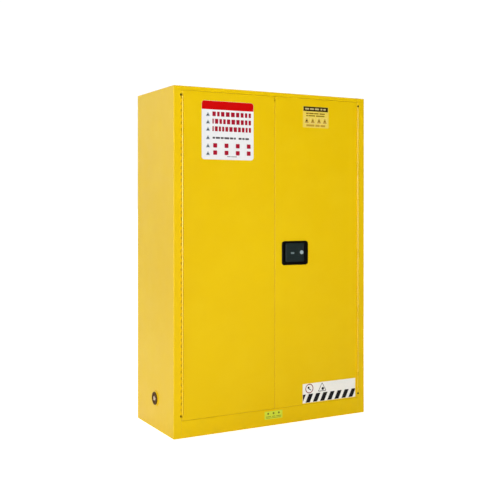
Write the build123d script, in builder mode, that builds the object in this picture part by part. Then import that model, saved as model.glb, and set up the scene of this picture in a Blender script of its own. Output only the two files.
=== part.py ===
from build123d import *
import os

# Flammable storage cabinet, 170 litre class: double-walled sheet steel body,
# two inset doors on continuous hinges, recessed paddle handle with a
# three-point latch, two lift-off shelves, leak-tight sump, two bunged vents.
# Frame: X to the right, Y to the back, Z up. Origin on the floor under the
# middle of the body. All sizes in millimetres.
# Names ending in _X that both sides share are distances from the middle;
# a side factor, LEFT or RIGHT, turns them into coordinates.

LEFT, RIGHT = -1, 1

# ---- body ----
WIDTH = 1090.0
DEPTH = 460.0
HEIGHT = 1650.0
SHEET = 1.2         # sheet thickness
GAP = 38.0          # air space between outer and inner walls
JAMB = 41.5         # width of the front flange beside each door
REBATE = 40.0       # depth of the door rebate
STOP = 12.0         # width of the stop lip behind the doors
HEADER_Z = 1630.0   # underside of the header above the doors
SILL_Z = 81.0       # top of the sill below the doors
CORNER_R = 3.0      # outer bend radius of the front corners
JAMB_R = 1.2        # rounding of the jamb's edge
RAIL_R = 0.5        # rounding of the header's and sill's edges
BACK_FLANGE = 20.0  # reach of the side panels' rear flanges
BOTTOM_Z = 20.0     # underside of the outer floor

OUTER_X = WIDTH / 2
FRONT_Y = -DEPTH / 2
BACK_Y = DEPTH / 2
JAMB_X = OUTER_X - JAMB                      # inner edge of the jambs
LINER_X = JAMB_X + SHEET                     # room-side face of the inner liner
STOP_Y = FRONT_Y + REBATE                    # front of the stop lips
STOP_BACK_Y = STOP_Y + SHEET
INNER_BACK_Y = BACK_Y - SHEET - GAP - SHEET  # front of the inner back sheet
INNER_TOP_Z = HEIGHT - SHEET - GAP - SHEET   # underside of the inner top sheet
INNER_SIDE_Y0 = -215.0                       # front edge of the inner side sheets

# ---- sump ----
SUMP_Z = 40.0
SUMP_DEPTH = 52.0
SUMP_R = 5.0

# ---- standards and shelves ----
STANDARD_Y = 130.0      # standards stand this far before and behind the middle
STANDARD_Z = 130.0      # foot of the standards
STANDARD_L = 1450.0
STANDARD_DEPTH = 8.0
STANDARD_W = 20.0
STANDARD_WALL = 1.5
SLOT_PITCH = 50.0
SLOT_COUNT = 29
SLOT_MID_Z = 850.0
WEB_X = LINER_X - STANDARD_DEPTH    # room-side face of the standards

SHELF_UPPER_Z = 1106.0  # support heights
SHELF_LOWER_Z = 606.0
SHELF_H = 30.0
SHELF_RIM = 10.0        # the deck lies this far below the rim
SHELF_X = 493.5
SHELF_Y0, SHELF_Y1 = -165.0, 175.0

# ---- feet ----
FOOT_X = 470.0
FOOT_Y = 180.0
FOOT_PLACES = [(-FOOT_X, -FOOT_Y), (FOOT_X, -FOOT_Y), (-FOOT_X, FOOT_Y), (FOOT_X, FOOT_Y)]

# ---- hinges ----
LEAF_T = 1.5            # leaf thickness
LEAF_BACK_Y = -203.0    # back edge of the leaves
PIN_R = 2.5
PIN_CLEAR = 0.06
KNUCKLE_R = 5.0
KNUCKLE_L = 14.93
KNUCKLE_GAP = 0.4
KNUCKLES = 100
HINGE_Z0 = 109.5
HINGE_L = KNUCKLES * KNUCKLE_L
HINGE_Z1 = HINGE_Z0 + HINGE_L
PIN_X = JAMB_X - 2.0
PIN_Y = FRONT_Y - KNUCKLE_R - 0.1
RELIEF_OFF = 5.2        # middle of the jamb's relief slots, past the hinge ends
RELIEF_HALF = 5.0       # half their height

# ---- doors ----
DOOR_DEPTH = 38.0
DOOR_GAP = 0.8          # gap above and below the doors
DOOR_Z0 = SILL_Z + DOOR_GAP
DOOR_Z1 = HEADER_Z - DOOR_GAP
DOOR_X = PIN_X - 2.0    # hinge edge
DOOR_IN = 1.8           # meeting edge of each door, from the middle
HEM_IN = 0.8            # hemmed front of that edge, from the middle
HEM_W = 18.4
HEM_DEPTH = 6.0
DOOR_BACK_Y = FRONT_Y + DOOR_DEPTH
DOOR_LINER_DEPTH = 20.0
DOOR_LINER_Y = DOOR_BACK_Y - SHEET  # front of the door liner's sheet
NOTCH_Z = HEIGHT - 40.5             # small relief in both meeting edges

# ---- handle and paddle ----
HANDLE_X = 116.25       # handle centre
HANDLE_Z = 850.5
HANDLE_W = 153.0        # bezel
HANDLE_H = 120.5
BEZEL_T = 5.0
HOUSING_W = 139.0       # housing body behind the bezel
HOUSING_H = 106.0
HOUSING_R = 10.0
CUTOUT_CLEAR = 0.5      # clearance of the door's cut-out round the body

PADDLE_X0, PADDLE_X1 = 62.0, 169.5
PADDLE_Z0, PADDLE_Z1 = 806.5, 899.3
PADDLE_MID_Z = (PADDLE_Z0 + PADDLE_Z1) / 2
PADDLE_FRONT_Y, PADDLE_BACK_Y = -233.5, -226.0
PIVOT_R = (PADDLE_BACK_Y - PADDLE_FRONT_Y) / 2  # rounded pivot end
PIVOT_X = PADDLE_X1 - PIVOT_R
PIVOT_Y = (PADDLE_FRONT_Y + PADDLE_BACK_Y) / 2
PADDLE_PIN_R = 2.5
PADDLE_PIN_Z = 802.5
PADDLE_PIN_L = 100.0
POCKET_X0, POCKET_X1 = 47.0, 170.8
POCKET_H = PADDLE_Z1 - PADDLE_Z0 + 2            # 1 mm above and below the paddle
BAND_DEPTH = 1.5        # sunken band in the paddle
SPRING_Z = 870.0        # start of the coil
SPRING_GAP_Z0, SPRING_GAP_Z1 = 868.0, 886.0

# ---- lock ----
LOCK_X, LOCK_Z = 154.5, 852.8
LOCK_R = 7.0
PLUG_R = 5.0
PLUG_FRONT_Y = PADDLE_FRONT_Y - 1.8
CAM_Y = PADDLE_FRONT_Y + 19.3
CAM_SQUARE = 5.0        # square drive between plug and cam

# ---- latch ----
ROTOR_X = 133.0
ROTOR_Z = 847.0
ROTOR_ARM = 17.5        # distances of the rod studs from the rotor's pivot,
ROTOR_OFFSET = 6.0      # along and across each stud's arm
ROTOR_SLOT_TILT = 19.5
ROTOR_FRONT_Y = -201.0
ROTOR_T = 3.0
ROTOR_PIVOT_R = 4.0
TOP_ROD_X = ROTOR_X + ROTOR_ARM
BOTTOM_ROD_X = ROTOR_X - ROTOR_ARM
BOLT_Z = ROTOR_Z + ROTOR_ARM        # height of the centre bolt

ROD_Y0, ROD_Y1 = -197.6, -194.0     # front and back of the flat rods
ROD_HALF = 6.0                      # half the width of a rod
ROD_STUD_R = 2.5
PASSAGE_HALF = ROD_HALF + 1.0
PASSAGE_Y0, PASSAGE_Y1 = ROD_Y0 - 1.0, ROD_Y1 + 1.0
PASSAGE_LINER_Y = DOOR_LINER_Y - 0.1    # passages stop before the liner's sheet
GUIDE_Y = ROD_Y0 - 2.0                  # front of the rod guides
GUIDE_CLEAR_Y = 0.06
GUIDE_CLEAR = 0.1
STRIKE_T = 2.0

# ---- vents ----
VENT_Y = -8.0
VENT_LOW_Z = 148.5
VENT_HIGH_Z = 1501.5
VENT_TUBE_R = 30.0
VENT_BORE_R = 26.0
VENT_FLANGE_R = 39.0
VENT_FLANGE_T = 3.0
VENTS = ((LEFT, VENT_LOW_Z), (RIGHT, VENT_HIGH_Z))

# ---- earth stud, through the back panel ----
STUD_X = 430.0
STUD_Z = 120.0
STUD_R = 4.0
STUD_OUT = 10.1         # how far it stands out of the back
STUD_HEX = 6.5          # head and nut, middle to flat
NUT_H = 4.0
GROOVE_L = 1.0

# ---- sign plates ----
LABEL_T = 0.3
# name, left, right, bottom, top, corner radius
LABELS = (
    ("sign_label", -401.1, -120.9, 1308.7, 1588.5, 14),
    ("caution_label", 164.1, 319.7, 1483.7, 1591.8, 3),
    ("hazard_label", 163, 487.4, 88, 185.7, 2),
    ("sill_label", -58.7, 43.9, 32, 71.5, 2),
)

os.makedirs("parts", exist_ok=True)


# ===========================================================================
# Helpers
# ===========================================================================

def block(x0, x1, y0, y1, z0, z1, mode=Mode.ADD):
    """A block between two corners, in the open builder; x0 and x1 in either order."""
    with Locations(((x0 + x1) / 2, (y0 + y1) / 2, (z0 + z1) / 2)):
        Box(abs(x1 - x0), y1 - y0, z1 - z0, mode=mode)


def cut(x0, x1, y0, y1, z0, z1):
    """Take a rectangular block away from the open builder."""
    block(x0, x1, y0, y1, z0, z1, mode=Mode.SUBTRACT)


def rod_passage(x, z0, z1, back=PASSAGE_Y1):
    """Cut the passage of an upright latch rod."""
    cut(x - PASSAGE_HALF, x + PASSAGE_HALF, PASSAGE_Y0, back, z0, z1)


def bolt_passage(x0, x1, back=PASSAGE_Y1):
    """Cut the passage of the centre bolt."""
    cut(x0, x1, PASSAGE_Y0, back, BOLT_Z - PASSAGE_HALF, BOLT_Z + PASSAGE_HALF)


def plane_x(x):
    """Plane across X, drawn in (Y, Z); positive extrusions go right."""
    return Plane.YZ.offset(x)


def plane_y(y):
    """Plane across Y, drawn in (X, Z); positive extrusions go forward."""
    return Plane.XZ.offset(-y)


def plane_z(z):
    """Plane across Z, drawn in (X, Y); positive extrusions go up."""
    return Plane.XY.offset(z)


def at(points, x, y):
    """The sketch vertices that lie at one point."""
    return points.filter_by(lambda v: abs(v.X - x) < 1e-3 and abs(v.Y - y) < 1e-3)


def outermost(part, side):
    """The face farthest out on one side."""
    return part.faces().sort_by(Axis.X)[0 if side == LEFT else -1]


def knuckle_centres(x, y, first):
    """Centres of every second knuckle: first is 0 for the frame's, 1 for the door's."""
    return [
        (x, y, HINGE_Z0 + KNUCKLE_L * (2 * k + first + 0.5)) for k in range(KNUCKLES // 2)
    ]


def finish(builder, name):
    """Label and export a piece."""
    builder.part.label = name
    export_step(builder.part, "parts/" + name + ".step")
    return builder.part


def mirrored(part, about, name):
    """Build a piece as the mirror image of another."""
    with BuildPart() as copy:
        mirror(part, about=about)
    return finish(copy, name)


# ===========================================================================
# Outer body
# ===========================================================================

def side_panel(name, side, vent_z):
    """One bent sheet with the front jamb, the rebate, the stop lip and a rear flange."""
    inside_x = OUTER_X - SHEET
    # distance from the middle, y
    outline = [
        (OUTER_X, BACK_Y), (OUTER_X, FRONT_Y),
        (JAMB_X, FRONT_Y), (JAMB_X, STOP_Y),
        (JAMB_X - STOP, STOP_Y), (JAMB_X - STOP, STOP_BACK_Y),
        (LINER_X, STOP_BACK_Y), (LINER_X, FRONT_Y + SHEET),
        (inside_x, FRONT_Y + SHEET), (inside_x, BACK_Y - 2 * SHEET),
        (OUTER_X - BACK_FLANGE, BACK_Y - 2 * SHEET), (OUTER_X - BACK_FLANGE, BACK_Y - SHEET),
        (inside_x, BACK_Y - SHEET), (inside_x, BACK_Y),
    ]
    with BuildPart() as panel:
        with BuildSketch(Plane.XY) as profile:
            with BuildLine():
                Polyline(*[(side * x, y) for x, y in outline], close=True)
            make_face()
            fillet(at(profile.vertices(), side * OUTER_X, FRONT_Y), CORNER_R)
            fillet(at(profile.vertices(), side * inside_x, FRONT_Y + SHEET), CORNER_R - SHEET)
            fillet(at(profile.vertices(), side * JAMB_X, FRONT_Y), JAMB_R)
        extrude(amount=HEIGHT - SHEET)
        # the rebate stops at the outer floor
        cut(side * (LINER_X + 0.1), side * (JAMB_X - STOP - 0.1),
            FRONT_Y + SHEET, STOP_BACK_Y + 0.1, -1, BOTTOM_Z + SHEET)
        # relief slots in the jamb just past both ends of the hinge
        for z in (HINGE_Z0 - RELIEF_OFF, HINGE_Z1 + RELIEF_OFF):
            cut(side * (JAMB_X + 8.5), side * (JAMB_X - 1),
                FRONT_Y - 1, FRONT_Y + 5, z - RELIEF_HALF, z + RELIEF_HALF)
        # the jamb's edge is notched beside every knuckle that turns
        with Locations(*knuckle_centres(side * (JAMB_X + 2), FRONT_Y + 2, first=1)):
            Box(5.2, 7.0, KNUCKLE_L - 2.4, mode=Mode.SUBTRACT)
        # vent hole
        with BuildSketch(plane_x(side * (OUTER_X + 1))):
            with Locations((VENT_Y, vent_z)):
                Circle(VENT_TUBE_R + 0.2)
        extrude(amount=-side * (SHEET + 2), mode=Mode.SUBTRACT)
    finish(panel, name)


def back_panel():
    """Flat sheet between the side panels."""
    with BuildPart() as panel:
        with BuildSketch(plane_y(BACK_Y - SHEET)):
            with Locations((0, (HEIGHT - SHEET) / 2)):
                Rectangle(WIDTH - 2 * SHEET, HEIGHT - SHEET)
        extrude(amount=-SHEET)
        # two shallow upright grooves in the back face
        with BuildSketch(plane_y(BACK_Y - 0.5)):
            with Locations((-260, HEIGHT / 2), (260, HEIGHT / 2)):
                SlotOverall(1400, 16, rotation=90)
        extrude(amount=-1, mode=Mode.SUBTRACT)
        # the earth stud's hole, low down
        with BuildSketch(plane_y(BACK_Y + 1)):
            with Locations((STUD_X, STUD_Z)):
                Circle(STUD_R + 0.1)
        extrude(amount=SHEET + 2, mode=Mode.SUBTRACT)
    finish(panel, "back_panel")


def top_panel():
    """Flat cap sheet over the walls."""
    with BuildPart() as panel:
        with BuildSketch(plane_z(HEIGHT - SHEET)) as outline:
            Rectangle(WIDTH, DEPTH)
            fillet(outline.vertices().group_by(Axis.Y)[0], CORNER_R)
        extrude(amount=SHEET)
        fillet(panel.faces().sort_by(Axis.Z)[-1].edges(), 0.8)
    finish(panel, "top_panel")


def header_rail():
    """Rail above the doors, with its rebate and a stop lip that hangs down."""
    with BuildPart() as rail:
        with BuildSketch(plane_x(-JAMB_X)) as profile:
            with BuildLine():
                Polyline(
                    (FRONT_Y, HEIGHT - SHEET), (FRONT_Y, HEADER_Z),
                    (STOP_Y, HEADER_Z), (STOP_Y, INNER_TOP_Z),
                    (STOP_BACK_Y, INNER_TOP_Z), (STOP_BACK_Y, HEADER_Z + SHEET),
                    (FRONT_Y + SHEET, HEADER_Z + SHEET), (FRONT_Y + SHEET, HEIGHT - SHEET),
                    close=True,
                )
            make_face()
            fillet(at(profile.vertices(), FRONT_Y, HEADER_Z), RAIL_R)
        extrude(amount=2 * JAMB_X)
        # the lip makes room for the side panels' lips
        for side in (LEFT, RIGHT):
            cut(side * (JAMB_X - STOP), side * (JAMB_X + 1),
                STOP_Y, STOP_BACK_Y + 1, INNER_TOP_Z - 1, HEADER_Z + 3)
        rod_passage(TOP_ROD_X, HEADER_Z - 1, HEADER_Z + 3)
    finish(rail, "header_rail")


def sill_rail():
    """Rail below the doors, with its rebate and a stop lip that stands up."""
    with BuildPart() as rail:
        with BuildSketch(plane_x(-JAMB_X)) as profile:
            with BuildLine():
                Polyline(
                    (FRONT_Y, 0), (FRONT_Y + SHEET, 0),
                    (FRONT_Y + SHEET, SILL_Z - SHEET), (STOP_BACK_Y, SILL_Z - SHEET),
                    (STOP_BACK_Y, SILL_Z + STOP), (STOP_Y, SILL_Z + STOP),
                    (STOP_Y, SILL_Z), (FRONT_Y, SILL_Z),
                    close=True,
                )
            make_face()
            fillet(at(profile.vertices(), FRONT_Y, SILL_Z), RAIL_R)
        extrude(amount=2 * JAMB_X)
        for side in (LEFT, RIGHT):
            cut(side * (JAMB_X - STOP), side * (JAMB_X + 1),
                STOP_Y, STOP_BACK_Y + 1, SILL_Z - 3, SILL_Z + STOP + 1)
        rod_passage(BOTTOM_ROD_X, SILL_Z - 3, SILL_Z + 1)
    finish(rail, "sill_rail")


def bottom_panel():
    """Outer floor of the double bottom, raised off the ground."""
    with BuildPart() as panel:
        with BuildSketch(plane_z(BOTTOM_Z)):
            with Locations((0, (FRONT_Y + SHEET + BACK_Y - 2 * SHEET) / 2)):
                Rectangle(WIDTH - 2 * SHEET, DEPTH - 3 * SHEET)
            with Locations(*FOOT_PLACES):
                Circle(6, mode=Mode.SUBTRACT)
        extrude(amount=SHEET)
        # notches for the front bend radii of the side panels
        for side in (LEFT, RIGHT):
            cut(side * (OUTER_X - SHEET - 2.01), side * (OUTER_X - SHEET + 0.01),
                FRONT_Y + SHEET - 0.01, FRONT_Y + SHEET + 2,
                BOTTOM_Z - 1, BOTTOM_Z + SHEET + 1)
    finish(panel, "bottom_panel")


# ===========================================================================
# Inner liner
# ===========================================================================

def inner_side(name, side, vent_z):
    with BuildPart() as sheet:
        with BuildSketch(plane_x(side * LINER_X)):
            with Locations(((INNER_SIDE_Y0 + INNER_BACK_Y) / 2,
                            (SUMP_Z + INNER_TOP_Z + SHEET) / 2)):
                Rectangle(INNER_BACK_Y - INNER_SIDE_Y0, INNER_TOP_Z + SHEET - SUMP_Z)
            with Locations((VENT_Y, vent_z)):
                Circle(VENT_TUBE_R, mode=Mode.SUBTRACT)
        extrude(amount=side * SHEET)
    finish(sheet, name)


def inner_back():
    with BuildPart() as sheet:
        with BuildSketch(plane_y(INNER_BACK_Y)):
            with Locations((0, (SUMP_Z + INNER_TOP_Z + SHEET) / 2)):
                Rectangle(2 * (LINER_X + SHEET), INNER_TOP_Z + SHEET - SUMP_Z)
        extrude(amount=-SHEET)
    finish(sheet, "inner_back")


def inner_top():
    with BuildPart() as sheet:
        with BuildSketch(plane_z(INNER_TOP_Z)):
            with Locations((0, (STOP_BACK_Y + INNER_BACK_Y) / 2)):
                Rectangle(2 * LINER_X, INNER_BACK_Y - STOP_BACK_Y)
        extrude(amount=SHEET)
    finish(sheet, "inner_top")


def sump_pan():
    """Leak-tight tray that holds a spill."""
    length, depth = 2 * LINER_X, INNER_BACK_Y - STOP_BACK_Y
    mid_y = (STOP_BACK_Y + INNER_BACK_Y) / 2
    with BuildPart() as pan:
        with BuildSketch(plane_z(SUMP_Z)) as outline:
            with Locations((0, mid_y)):
                Rectangle(length, depth)
            fillet(outline.vertices(), SUMP_R)
        extrude(amount=SUMP_DEPTH)
        with BuildSketch(plane_z(SUMP_Z + SHEET)) as well:
            with Locations((0, mid_y)):
                Rectangle(length - 2 * SHEET, depth - 2 * SHEET)
            fillet(well.vertices(), SUMP_R - SHEET)
        extrude(amount=SUMP_DEPTH, mode=Mode.SUBTRACT)
    finish(pan, "sump_pan")


# ===========================================================================
# Shelves
# ===========================================================================

def standards(name, side):
    """Two slotted channels on one side wall of the liner."""
    inside = STANDARD_DEPTH - STANDARD_WALL
    channel_x = side * (LINER_X - STANDARD_DEPTH / 2)
    hollow_x = side * (LINER_X - inside / 2)
    with BuildPart() as pair:
        with BuildSketch(plane_z(STANDARD_Z)):
            with Locations((channel_x, -STANDARD_Y), (channel_x, STANDARD_Y)):
                Rectangle(STANDARD_DEPTH, STANDARD_W)
            with Locations((hollow_x, -STANDARD_Y), (hollow_x, STANDARD_Y)):
                Rectangle(inside, STANDARD_W - 2 * STANDARD_WALL, mode=Mode.SUBTRACT)
        extrude(amount=STANDARD_L)
        with BuildSketch(plane_x(side * (WEB_X + 2))):
            with Locations((0, SLOT_MID_Z)):
                with GridLocations(2 * STANDARD_Y, SLOT_PITCH, 2, SLOT_COUNT):
                    Rectangle(5, 13)
        extrude(amount=-side * 3, mode=Mode.SUBTRACT)
    finish(pair, name)


# Blocks of a shelf clip. Start and end measured from the standard's face
# towards the room, half width, bottom and top measured from the support height.
CLIP_BLOCKS = (
    (0, 2, 6, -22, 0),              # plate on the standard
    (0, 15, 6, -2, 0),              # tab that carries the shelf
    (-5, 1, 2, -12.5, -8.5),        # neck through the slot
    (-4.2, -1.7, 2, -17, -8.5),     # hook behind the slot
)


def shelf_clips(name, shelf_z):
    """Four clips hooked into the slots under one shelf."""
    with BuildPart() as clips:
        for side in (LEFT, RIGHT):
            for y in (-STANDARD_Y, STANDARD_Y):
                for start, end, half, low, high in CLIP_BLOCKS:
                    block(side * (WEB_X - start), side * (WEB_X - end),
                          y - half, y + half, shelf_z + low, shelf_z + high)
    finish(clips, name)


def shelf(name, shelf_z):
    """Galvanised tray with a sunken deck, open below."""
    inside = (-SHELF_X + SHEET, SHELF_X - SHEET, SHELF_Y0 + SHEET, SHELF_Y1 - SHEET)
    deck_z = shelf_z + SHELF_H - SHELF_RIM
    with BuildPart() as tray:
        with BuildSketch(plane_z(shelf_z)) as outline:
            with Locations((0, (SHELF_Y0 + SHELF_Y1) / 2)):
                Rectangle(2 * SHELF_X, SHELF_Y1 - SHELF_Y0)
            fillet(outline.vertices(), 3)
        extrude(amount=SHELF_H)
        cut(*inside, deck_z, shelf_z + SHELF_H + 1)
        cut(*inside, shelf_z - 1, deck_z - SHEET)
    finish(tray, name)


# ===========================================================================
# Levelling feet
# ===========================================================================

# Half section of the disc: radius, height. It stays just clear of the ground.
FOOT_PROFILE = [(0, 0.5), (19, 0.5), (20, 1.5), (20, 5), (14, 8), (0, 8)]
FOOT_DISC_H = 8.0
FOOT_HEX_H = 6.0
FOOT_SHANK_R = 5.0
FOOT_SHANK_L = 23.0


def foot_nuts():
    with BuildPart() as nuts:
        with BuildSketch(plane_z(BOTTOM_Z + SHEET)):
            with Locations(*FOOT_PLACES):
                RegularPolygon(radius=8.5, side_count=6, major_radius=False)
                Circle(FOOT_SHANK_R + 0.05, mode=Mode.SUBTRACT)
        extrude(amount=8)
    finish(nuts, "foot_nuts")


def foot_front_left():
    """Turned disc, hexagon and shank."""
    with BuildPart() as foot:
        with BuildSketch(Plane(origin=(-FOOT_X, -FOOT_Y, 0), x_dir=(1, 0, 0), z_dir=(0, -1, 0))):
            with BuildLine():
                Polyline(*FOOT_PROFILE, close=True)
            make_face()
        revolve(axis=Axis((-FOOT_X, -FOOT_Y, 0), (0, 0, 1)))
        with BuildSketch(plane_z(FOOT_DISC_H)):
            with Locations((-FOOT_X, -FOOT_Y)):
                RegularPolygon(radius=6.5, side_count=6, major_radius=False)
        extrude(amount=FOOT_HEX_H)
        with BuildSketch(plane_z(FOOT_DISC_H + FOOT_HEX_H)):
            with Locations((-FOOT_X, -FOOT_Y)):
                Circle(FOOT_SHANK_R)
        extrude(amount=FOOT_SHANK_L)
    return finish(foot, "foot_front_left")


# ===========================================================================
# Continuous hinges
# ===========================================================================

def left_hinge_leaf(name, plate_x, bore_r, first_gap):
    """Plate with every second knuckle; the others are cleared, from first_gap on."""
    with BuildPart() as leaf:
        with BuildSketch(plane_z(HINGE_Z0)):
            with Locations((plate_x, (PIN_Y + LEAF_BACK_Y) / 2)):
                Rectangle(LEAF_T, LEAF_BACK_Y - PIN_Y)
            with Locations((-PIN_X, PIN_Y)):
                Circle(KNUCKLE_R)
                Circle(bore_r, mode=Mode.SUBTRACT)
        extrude(amount=HINGE_L)
        with Locations(*knuckle_centres(-PIN_X, PIN_Y, first_gap)):
            Box(14, 11.4, KNUCKLE_L + KNUCKLE_GAP, mode=Mode.SUBTRACT)
    return finish(leaf, name)


def left_hinge_pin():
    with BuildPart() as pin:
        with BuildSketch(plane_z(HINGE_Z0 - 1)):
            with Locations((-PIN_X, PIN_Y)):
                Circle(PIN_R)
        extrude(amount=HINGE_L + 2)
        chamfer(pin.edges().filter_by(GeomType.CIRCLE), 0.6)
    return finish(pin, "left_hinge_pin")


# ===========================================================================
# Doors
# ===========================================================================

def door_skin(name, side):
    """Outer pan of a door, open to the back, with a hemmed meeting edge."""
    strip_x = (side * (DOOR_X + 2.5), side * (DOOR_X - 0.5))
    strip_y = (FRONT_Y + 0.3, FRONT_Y + 9)
    hinge_clear = RELIEF_OFF + RELIEF_HALF
    with BuildPart() as skin:
        with BuildSketch(plane_z(DOOR_Z0)) as outline:
            with Locations((side * (DOOR_X + DOOR_IN) / 2, (FRONT_Y + DOOR_BACK_Y) / 2)):
                Rectangle(DOOR_X - DOOR_IN, DOOR_DEPTH)
            with Locations((side * (HEM_IN + HEM_W / 2), FRONT_Y + HEM_DEPTH / 2)):
                Rectangle(HEM_W, HEM_DEPTH)
            fillet(at(outline.vertices(), side * HEM_IN, FRONT_Y), 1.2)
            fillet(at(outline.vertices(), side * DOOR_X, FRONT_Y), 1.0)
        extrude(amount=DOOR_Z1 - DOOR_Z0)
        fillet(skin.edges().filter_by(Axis.X).group_by(Axis.Y)[0], 0.4)
        cut(side * (DOOR_X - SHEET), side * (DOOR_IN + SHEET),
            FRONT_Y + SHEET, DOOR_BACK_Y + 1, DOOR_Z0 + SHEET, DOOR_Z1 - SHEET)
        # the edge comes out to the jamb above and below the hinge
        block(*strip_x, *strip_y, DOOR_Z0 + 0.4, HINGE_Z0 - hinge_clear)
        block(*strip_x, *strip_y, HINGE_Z1 + hinge_clear, DOOR_Z1 - 0.4)
        cut(side * (HEM_IN - 1), side * (HEM_IN + 2.5),
            FRONT_Y - 1, FRONT_Y + 9, NOTCH_Z - 6, NOTCH_Z + 6)
        if side == RIGHT:
            # cut-out for the handle
            with BuildSketch(plane_y(FRONT_Y - 1)):
                with Locations((HANDLE_X, HANDLE_Z)):
                    RectangleRounded(HOUSING_W + 2 * CUTOUT_CLEAR, HOUSING_H + 2 * CUTOUT_CLEAR,
                                     HOUSING_R + CUTOUT_CLEAR)
            extrude(amount=-(SHEET + 2), mode=Mode.SUBTRACT)
            rod_passage(TOP_ROD_X, DOOR_Z1 - SHEET - 1, DOOR_Z1 + 1)
            rod_passage(BOTTOM_ROD_X, DOOR_Z0 - 1, DOOR_Z0 + SHEET + 1)
        bolt_passage(side * (DOOR_IN - 1), side * (DOOR_IN + SHEET + 1))
    finish(skin, name)


def door_liner(name, side):
    """Inner pan of a door, nested in the skin and open to the front."""
    inset = 2 * SHEET
    with BuildPart() as liner:
        block(side * (DOOR_X - SHEET), side * (DOOR_IN + SHEET),
              DOOR_BACK_Y - DOOR_LINER_DEPTH, DOOR_BACK_Y, DOOR_Z0 + SHEET, DOOR_Z1 - SHEET)
        cut(side * (DOOR_X - inset), side * (DOOR_IN + inset),
            DOOR_BACK_Y - DOOR_LINER_DEPTH - 1, DOOR_LINER_Y, DOOR_Z0 + inset, DOOR_Z1 - inset)
        if side == RIGHT:
            rod_passage(TOP_ROD_X, DOOR_Z1 - inset - 1, DOOR_Z1, PASSAGE_LINER_Y)
            rod_passage(BOTTOM_ROD_X, DOOR_Z0, DOOR_Z0 + inset + 1, PASSAGE_LINER_Y)
        bolt_passage(side * DOOR_IN, side * (DOOR_IN + inset + 1), PASSAGE_LINER_Y)
    finish(liner, name)


# ===========================================================================
# Recessed paddle handle
# ===========================================================================

def handle_housing():
    """Bezel on the door's face with a sunken body behind it."""
    square_w = 55.6     # squares off the pocket's corners at the pivot end
    with BuildPart() as housing:
        with BuildSketch(plane_y(FRONT_Y)):
            with Locations((HANDLE_X, HANDLE_Z)):
                RectangleRounded(HANDLE_W, HANDLE_H, 15)
        extrude(amount=BEZEL_T)
        fillet(housing.faces().sort_by(Axis.Y)[0].edges(), 2.5)
        with BuildSketch(plane_y(FRONT_Y)):
            with Locations((HANDLE_X, HANDLE_Z)):
                RectangleRounded(HOUSING_W, HOUSING_H, HOUSING_R)
        extrude(amount=-22)
        # pocket for the paddle and the fingers
        with BuildSketch(plane_y(FRONT_Y - BEZEL_T)):
            with Locations(((POCKET_X0 + POCKET_X1) / 2, PADDLE_MID_Z)):
                RectangleRounded(POCKET_X1 - POCKET_X0, POCKET_H, 7)
            with Locations((POCKET_X1 - square_w / 2, PADDLE_MID_Z)):
                Rectangle(square_w, POCKET_H)
        extrude(amount=-24, mode=Mode.SUBTRACT)
        # slot in the floor for the paddle's finger
        cut(131, 156, -212, -207, 821.5, 838.5)
        # bores for the paddle pin
        with BuildSketch(plane_z(PADDLE_PIN_Z)):
            with Locations((PIVOT_X, PIVOT_Y)):
                Circle(PADDLE_PIN_R)
        extrude(amount=PADDLE_PIN_L, mode=Mode.SUBTRACT)
    finish(housing, "handle_housing")


def paddle():
    """Flat paddle that turns on an upright pin at its right end."""
    blank_x1 = 193.0    # right end of the rounding outline, past the pivot
    before_face = plane_y(PADDLE_FRONT_Y - 1)
    with BuildPart() as plate:
        with BuildSketch(plane_z(PADDLE_Z0)) as profile:
            with Locations(((PADDLE_X0 + PIVOT_X) / 2, PIVOT_Y)):
                Rectangle(PIVOT_X - PADDLE_X0, PADDLE_BACK_Y - PADDLE_FRONT_Y)
            with Locations((PIVOT_X, PIVOT_Y)):
                Circle(PIVOT_R)
            fillet(at(profile.vertices(), PADDLE_X0, PADDLE_FRONT_Y), 2.0)
            fillet(at(profile.vertices(), PADDLE_X0, PADDLE_BACK_Y), 2.0)
        extrude(amount=PADDLE_Z1 - PADDLE_Z0)
        # round the two free corners
        with BuildSketch(before_face):
            with Locations(((PADDLE_X0 + blank_x1) / 2, PADDLE_MID_Z)):
                RectangleRounded(blank_x1 - PADDLE_X0, PADDLE_Z1 - PADDLE_Z0, 6)
        extrude(amount=-12, mode=Mode.INTERSECT)
        # sunken band across the middle of the face
        with BuildSketch(before_face):
            with Locations((105, HANDLE_Z)):
                RectangleRounded(68, 40, 4)
        extrude(amount=-(1 + BAND_DEPTH), mode=Mode.SUBTRACT)
        # finger that drives the latch
        block(144, 152, PADDLE_BACK_Y - 0.5, -202.5, 825, 835)
        # bore for the lock
        with BuildSketch(before_face):
            with Locations((LOCK_X, LOCK_Z)):
                Circle(LOCK_R)
        extrude(amount=-10, mode=Mode.SUBTRACT)
        # pivot bore
        with BuildSketch(plane_z(PADDLE_Z0 - 1)):
            with Locations((PIVOT_X, PIVOT_Y)):
                Circle(PADDLE_PIN_R + 0.05)
        extrude(amount=PADDLE_Z1 - PADDLE_Z0 + 2, mode=Mode.SUBTRACT)
        # gap for the spring's coil and a groove for its leg
        cut(PIVOT_X - 5.2, PIVOT_X + 6, PADDLE_FRONT_Y - 1, PADDLE_BACK_Y + 1,
            SPRING_GAP_Z0, SPRING_GAP_Z1)
        cut(147, PIVOT_X, PADDLE_BACK_Y - 2.4, PADDLE_BACK_Y + 1,
            SPRING_GAP_Z0, SPRING_GAP_Z1)
    finish(plate, "paddle")


def paddle_pin():
    with BuildPart() as pin:
        with BuildSketch(plane_z(PADDLE_PIN_Z)):
            with Locations((PIVOT_X, PIVOT_Y)):
                Circle(PADDLE_PIN_R)
        extrude(amount=PADDLE_PIN_L)
    finish(pin, "paddle_pin")


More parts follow.
